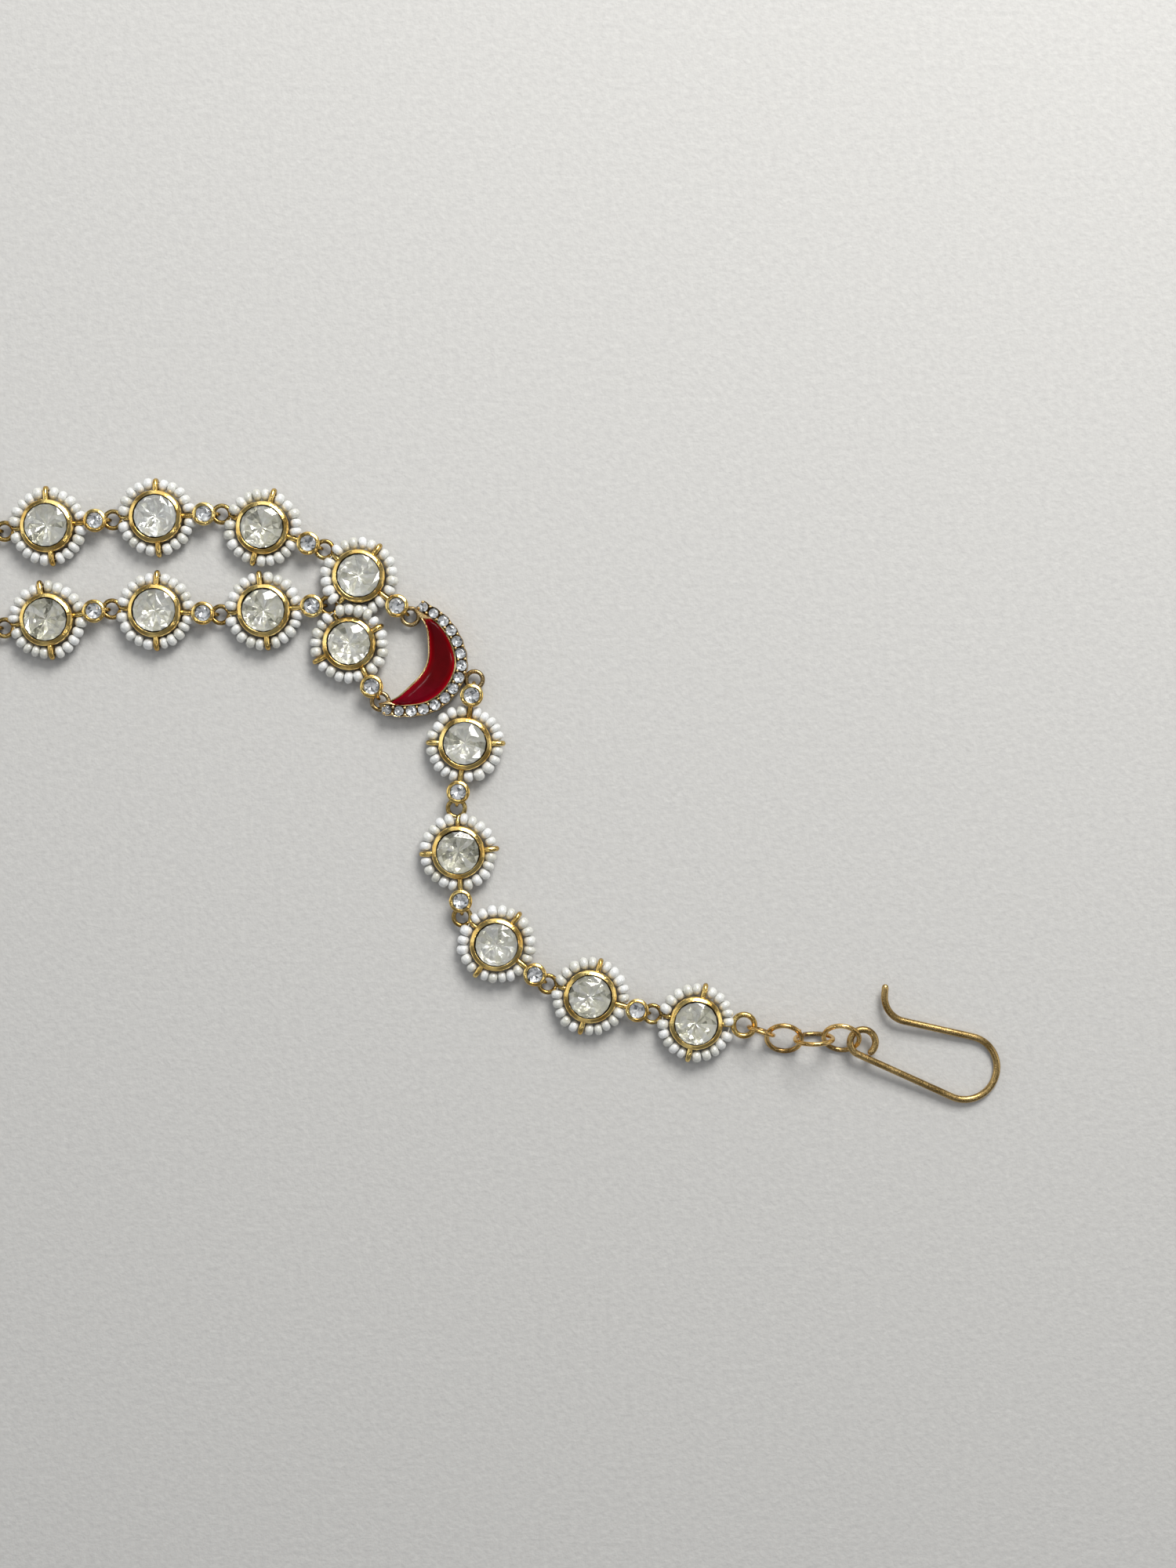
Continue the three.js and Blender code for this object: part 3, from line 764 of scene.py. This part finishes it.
# Millimetres. Both lines run from the upper tip to the lower one, in the crescent's own frame. The rest are
# shares of their length, and widths from the stone line to the ledge's two sides.
UPPER_ROW_ABOVE = 20.1
CRESCENT_X, CRESCENT_Y = 70.5, centre_places["upper"][1] - UPPER_ROW_ABOVE
STONE_LINE = [(-1.1, 8.1), (2.4, 5.75), (4.6, 2.5), (5.4, -1.6), (3.9, -5.4), (0.75, -8.0), (-3.25, -8.8),
              (-7.0, -8.5)]
INNER_EDGE = [(-2.3, 7.7), (-0.3, 4.6), (0.05, 2.0), (-0.05, -0.6), (-0.9, -2.6), (-3.25, -5.1), (-5.2, -6.7),
              (-7.9, -7.6)]
STEPS, STEPS_BETWEEN_ROWS = 140, 30
PAVE_STONES, PAVE_FROM, PAVE_TO = 15, 0.015, 0.985
FIELD_FROM, FIELD_TO, FIELD_TAPER = 0.10, 0.93, 0.05
LEDGE_INSIDE, LEDGE_OUTSIDE, SCALLOP = 0.85, 0.89, 0.07


def blended(points, starts, ends, t):
    """Each two neighbouring points, blended by where t lies between their start and their end."""
    return [((end - t) * a + (t - start) * b) / (end - start)
            for a, b, start, end in zip(points, points[1:], starts, ends)]


def smooth_line(rows, count):
    """Evenly spaced points on a smooth curve through rows, with the direction at each."""
    rows = np.array(rows, float)
    rows = np.vstack([2 * rows[0] - rows[1], rows, 2 * rows[-1] - rows[-2]])
    fine = []
    for four in zip(rows, rows[1:], rows[2:], rows[3:]):
        knots = np.cumsum([0] + [math.sqrt(np.linalg.norm(b - a)) for a, b in zip(four, four[1:])])
        for t in np.linspace(knots[1], knots[2], STEPS_BETWEEN_ROWS, endpoint=False):
            three = blended(four, knots, knots[1:], t)
            two = blended(three, knots, knots[2:], t)
            fine += blended(two, knots[1:], knots[2:], t)
    fine = np.array([*fine, rows[-2]])
    run = np.concatenate([[0], np.cumsum(np.hypot(*np.diff(fine, axis=0).T))])
    even = np.linspace(0, run[-1], count)
    points = np.column_stack([np.interp(even, run, fine[:, k]) for k in (0, 1)])
    ways = np.gradient(points, axis=0)
    return points, ways / np.linalg.norm(ways, axis=1)[:, None]


stone_points, stone_ways = smooth_line(STONE_LINE, STEPS + 1)
inner_points, _ = smooth_line(INNER_EDGE, STEPS + 1)
outward = np.column_stack([-stone_ways[:, 1], stone_ways[:, 0]])
field_outer = stone_points - outward * LEDGE_INSIDE
share_at = np.linspace(0, 1, STEPS + 1)
stone_at = np.linspace(PAVE_FROM, PAVE_TO, PAVE_STONES)
# The outer wall bulges a little round every stone.
scallop = np.cos((share_at - PAVE_FROM) / (PAVE_TO - PAVE_FROM) * (PAVE_STONES - 1) * 2 * math.pi)
rim_outer = stone_points + outward * (LEDGE_OUTSIDE + SCALLOP * scallop)[:, None]
# How open the enamel field is: nothing at the plain gold tips.
opening = np.clip(np.minimum(share_at - FIELD_FROM, FIELD_TO - share_at) / FIELD_TAPER, 0, 1)

# Across the crescent: the plain tips, the field and its border, then (distance, height) rows of the inner wall,
# of the ledge from the border out, and of the ledge and the outer wall from the outer edge in.
PLATE_Z, FIELD_DEPTH, BORDER_Z, BORDER = 3.18, 0.85, 3.2, 0.3
INNER_WALL = [(0, 0.0), (0, 1.6), (0, 3.02), (0.06, 3.14)]
LEDGE_IN = [(0.03, 2.6), (0.2, 2.45)]
LEDGE_OUT = [(0.3, 2.45), (0.14, 2.55), (0.1, 2.66), (0.04, 2.68), (0, 2.6), (0, 1.4), (0, 0.0)]
LEDGE_FACES = range(12, 16)  # The faces across the ledge, counted from the inner wall's foot.


def border(width):
    """Width of the raised border on each side of the field."""
    return min(BORDER, width * 0.3)


def section(k):
    """Corners across the crescent at one step, from the inner wall's foot to the outer wall's foot."""
    a, b, c = inner_points[k], field_outer[k], rim_outer[k]
    width = np.linalg.norm(b - a)
    lip = border(width)
    deep = PLATE_Z - FIELD_DEPTH * opening[k]
    foot = min(3.1, deep + 0.02)
    bed = [(lip * 0.5, BORDER_Z), (lip * 0.85, 3.16), (lip, foot), (lip + 0.02, deep),
           (width - lip - 0.02, deep), (width - lip, foot), (width - lip * 0.8, 3.16),
           (width - lip * 0.45, BORDER_Z), (width - 0.02, 3.1)]
    across, ledge_way = (b - a) / width, (c - b) / np.linalg.norm(c - b)
    return ([(*(a + across * along), z) for along, z in INNER_WALL + bed]
            + [(*(b + ledge_way * along), z) for along, z in LEDGE_IN]
            + [(*(c - ledge_way * along), z) for along, z in LEDGE_OUT])


crescent = Shape()
sections = [section(k) for k in range(STEPS + 1)]
count = len(sections[0])
verts = [corner for each in sections for corner in each]
faces = strips(STEPS + 1, count)
faces += [tuple(range(count)), tuple(range(len(verts) - count, len(verts)))[::-1]]
crescent.add(verts, [face[::-1] for face in faces])
# The ledge under the pave stones takes the shadowed gold: painted shade.
crescent.slots[:] = [int(n < STEPS * count and n % count in LEDGE_FACES) for n in range(len(faces))]

CRESCENT_EYE = 1.34
for name, direction in (("upper_station_4", 1), ("lower_station_4", 1), ("tail_station_1", -1)):
    x, y, turn = lies[name]
    reach = direction * (SMALL_AT + SMALL_TO_EYE)
    eye_x, eye_y = x + math.cos(turn) * reach - CRESCENT_X, y + math.sin(turn) * reach - CRESCENT_Y
    crescent.add(*tube(arc(eye_x, eye_y, CRESCENT_EYE, 0, 345, 24, WIRE_Z), EYE_WIRE, closed=True))


def on_line(share, out=0.0):
    """The point at a share of the stone line's length, or one that lies out from it."""
    def at(values):
        return np.array([np.interp(share * STEPS, np.arange(STEPS + 1), values[:, k]) for k in (0, 1)])
    return at(stone_points) + at(outward) * out


# The grains between the stones, in pairs on both sides of the stone line: raised beads of metal, flattened
# where the tool pressed them.
GRAIN_RADIUS, GRAIN_Z, GRAIN_SIDES = 0.27, 2.8, 10
GRAINS_FROM, GRAINS_TO, GRAIN_LINES = 0.0, 0.997, (-0.56, 0.6)
GRAIN = [(GRAIN_RADIUS * r, GRAIN_RADIUS * z)
         for r, z in ((1.0, -0.6), (1.0, 0.0), (0.85, 0.5), (0.5, 0.85), (0.18, 0.95))]
rng = np.random.default_rng(41)
for share in [GRAINS_FROM, *((stone_at[1:] + stone_at[:-1]) / 2), GRAINS_TO]:
    for out in GRAIN_LINES:
        x, y = on_line(share, out + rng.normal(0, 0.03))
        verts, faces = lathe(GRAIN, GRAIN_SIDES, wobble=0, seed=0)
        crescent.add([(x + a, y + b, GRAIN_Z + c) for a, b, c in verts], faces)
crescent_place = (CRESCENT_X, CRESCENT_Y, 0)
both("crescent_body", crescent.placed(*crescent_place), [dark_gold, crevice], "crescent", 35)

PAVE_RADIUS, PAVE_END_RADIUS, PAVE_GIRDLE_Z, PAVE_DEPTH, PAVE_FACETS = 0.88, 0.78, 2.74, 0.26, 7
pave = Shape()
for n, share in enumerate(stone_at):
    x, y = on_line(share)
    radius = PAVE_RADIUS if 1 < n < PAVE_STONES - 2 else PAVE_END_RADIUS
    one = brilliant(0, 200 + n, radius, PAVE_GIRDLE_Z, PAVE_DEPTH, PAVE_FACETS).placed(x, y, 0.7 * n)
    pave.add(one.verts, one.faces, one.tones)
    pave.slots[-len(one.slots):] = one.slots
both("pave_stones", pave.placed(*crescent_place), SMALL, "crescent", None)

# ---- crescent enamel ----
# Deep red glass enamel, fired into the crescent's field. It fills the field to its border and crowns slightly,
# and is darker where it is thick.
ENAMEL_EDGE_Z, ENAMEL_CROWN, ENAMEL_UNDER_Z, ENAMEL_CLEAR, ENAMEL_COLUMNS = 2.98, 0.26, 2.36, 0.03, 13
LOWER_END, UPPER_END = (CRESCENT_Y - 6.5) * MM, (CRESCENT_Y + 6) * MM

enamel, shader, node = material("red_enamel", Specular_IOR_Level=0.08)
spot = node("ShaderNodeSeparateXYZ", {"Vector": object_space(node)}).outputs
crown = mapped(node, spot["Z"], ENAMEL_EDGE_Z * MM, (ENAMEL_EDGE_Z + ENAMEL_CROWN) * MM, 0.0, 1.0)
thick = ramp(node, crown, (0.0, (0.46, 0.003, 0.012)), (0.3, (0.16, 0.0004, 0.002)),
             (0.8, (0.06, 0.0002, 0.001)))
# Along its length it runs from bright crimson at the lower end to dark maroon at the upper, where a faint
# violet is a painted reflection.
along = mapped(node, spot["Y"], LOWER_END, UPPER_END, 0.0, 1.0)
ends = ramp(node, along, (0.0, (0.28, 0.002, 0.02)), (0.25, (0.15, 0.001, 0.003)),
            (0.7, (0.095, 0.0005, 0.002)), (1.0, (0.07, 0.001, 0.008)))
cloudy = mix(node, spread(node, noise(node, 700, 3), 0.15, 0.4), thick, ends)
link(enamel, cloudy, shader.inputs["Base Color"])
link(enamel, spread(node, noise(node, 1500, 2), 0.06, 0.14), shader.inputs["Roughness"])
bump(enamel, shader, node, noise(node, 500, 2), 0.08, 0.0002)

open_steps = [k for k in range(STEPS + 1) if opening[k] > 0.05]
top = []
for k in open_steps:
    a, b = inner_points[k], field_outer[k]
    width = np.linalg.norm(b - a)
    half = (width / 2 - border(width) - ENAMEL_CLEAR) * (1 - 0.9 * (1 - opening[k]))
    for u in np.linspace(-1, 1, ENAMEL_COLUMNS):
        point = (a + b) / 2 + (b - a) / width * u * half
        top.append((*point, ENAMEL_EDGE_Z + ENAMEL_CROWN * (1 - abs(u) ** 2.6) * opening[k]))
shell = strips(len(open_steps), ENAMEL_COLUMNS, closed_around=False)
under = len(top)
verts = top + [(x, y, ENAMEL_UNDER_Z) for x, y, _ in top]
starts = [n * ENAMEL_COLUMNS for n in range(len(open_steps))]
stops = [start + ENAMEL_COLUMNS - 1 for start in starts]
edge = [*range(stops[0]), *stops, *range(stops[-1] - 1, starts[-1], -1), *starts[:0:-1]]
walls = [(i, j, j + under, i + under) for i, j in zip(edge, edge[1:] + edge[:1])]
field = Shape()
field.add(verts, [face[::-1] for face in shell] + [tuple(v + under for v in face) for face in shell] + walls)
both("enamel_field", field.placed(*crescent_place), [enamel], "crescent_enamel", 45)

# ---- chains ----
# Four jump rings of plated wire on each side, cut from a coil and closed. Two stand almost upright between two
# that lie tilted. One of them is not quite closed, and keeps a small spur of solder at its seam.
satin_gold = metal("satin_gold", deep=(0.48, 0.28, 0.08), bright=(0.86, 0.59, 0.23),
                   dark=(0.10, 0.05, 0.015), smooth=0.16, rough=0.32, dark_below=0.0016, worked_by=0.15)
# Millimetres and degrees: the way a ring faces, its middle radius along and across that, and its tilt.
LINKS = [{"faces": -18, "long": 2.08, "high": 2.08, "wire": 0.34, "tilt": 90},
         {"faces": -10, "long": 2.78, "high": 2.78, "wire": 0.4, "tilt": 38},
         {"faces": 2, "long": 3.0, "high": 2.7, "wire": 0.38, "tilt": 101},
         {"faces": -12, "long": 2.82, "high": 2.82, "wire": 0.4, "tilt": 42}]
OPEN_LINK, SEAM_AT, SEAM_HALF = 3, 236, 6
SPUR, SPUR_WIRE = [(-0.05, 0, 0), (-0.1, 0.5, 0.25), (-0.05, 0.9, 0.4)], 0.15
whole_ring = np.radians(np.arange(0, 360, 9))
open_ring = np.radians(np.linspace(SEAM_AT + SEAM_HALF, SEAM_AT + 360 - SEAM_HALF, 40))

ring_places = []
for n, row in enumerate(LINKS, 1):
    low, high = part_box(f"chain_link_{n}_right")
    x, y = (low[0] + high[0]) / 2 / MM, (low[1] + high[1]) / 2 / MM
    facing, tilt = math.radians(row["faces"]), math.radians(row["tilt"])
    middle_z = row["high"] * math.sin(tilt) + row["wire"]
    turns = open_ring if n == OPEN_LINK else whole_ring
    ring = [(row["long"] * math.cos(t), row["high"] * math.sin(t) * math.cos(tilt),
             middle_z + row["high"] * math.sin(t) * math.sin(tilt)) for t in turns]
    shape = Shape()
    shape.add(*tube(ring, row["wire"], closed=n != OPEN_LINK, round_ends=False))
    if n == OPEN_LINK:
        shape.add(*tube(np.array(SPUR) + ring[-1], SPUR_WIRE, 8))
    both(f"chain_ring_{n}", shape.placed(x, y, facing), [satin_gold], f"chain_link_{n}")
    ring_places.append((x, y, facing))

# ---- hooks ----
# One piece of antique brass wire on each side, hung from the last ring: a full eye, a long straight shank, a
# round bend and a return limb whose tip turns up, all bent cold and slightly flattened by the pliers.
old_brass = metal("antique_brass", deep=(0.32, 0.21, 0.075), bright=(0.55, 0.38, 0.155),
                  dark=(0.08, 0.05, 0.025), smooth=0.22, rough=0.34, dark_below=0.0006, worked_by=0.15)
# Millimetres and degrees, from the cut end of the eye to the tip.
HOOK_EYE, EYE_END, HOOK_APART, PITCH = 2.05, -50, 3.53, math.radians(3.9)
HOOK_PATH = [{"radius": HOOK_EYE, "turn": 295.5}, {"length": 16.8}, {"radius": 5.2, "turn": 107.5},
             {"radius": 5.0, "turn": 84}, {"length": 11.6}, {"radius": 4.0, "turn": -82}, {"length": 1.15}]
HOOK_WIRE, HOOK_SIDES, HOOK_FLAT, HOOK_LOWEST_Z, BEND_STEP = 0.56, 14, 0.92, 0.52, 7


def trace(start, facing, rows):
    """Points of a wire's middle line, through straights and bends."""
    at = np.array(start, float)
    points = [at.copy()]
    for row in rows:
        turn = row.get("turn", 0)
        steps = max(4, math.ceil(abs(turn) / BEND_STEP))
        if "length" in row:
            step = row["length"] / steps
        else:
            step = 2 * row["radius"] * math.sin(math.radians(abs(turn)) / steps / 2)
        for _ in range(steps):
            way = math.radians(facing + turn / steps / 2)
            at = at + step * np.array([math.cos(way), math.sin(way)])
            facing += turn / steps
            points.append(at.copy())
    return points


# The hook's eye lies in line with the last ring.
ring_x, ring_y, facing = ring_places[-1]
hook_x, hook_y = ring_x + HOOK_APART * math.cos(facing), ring_y + HOOK_APART * math.sin(facing)
start = (HOOK_EYE * math.cos(math.radians(EYE_END)), HOOK_EYE * math.sin(math.radians(EYE_END)))
flat_line = trace(start, EYE_END + 90, HOOK_PATH)
raised = [(x * math.cos(PITCH), y, -x * math.sin(PITCH)) for x, y in flat_line]
lowest = min(z for _, _, z in raised)
hook_line = [(x, y, z - lowest + HOOK_LOWEST_Z) for x, y, z in raised]
shape = Shape()
shape.add(*tube(hook_line, HOOK_WIRE, HOOK_SIDES, flat=HOOK_FLAT))
both("wire_hook", shape.placed(hook_x, hook_y, 0), [old_brass], "hook")
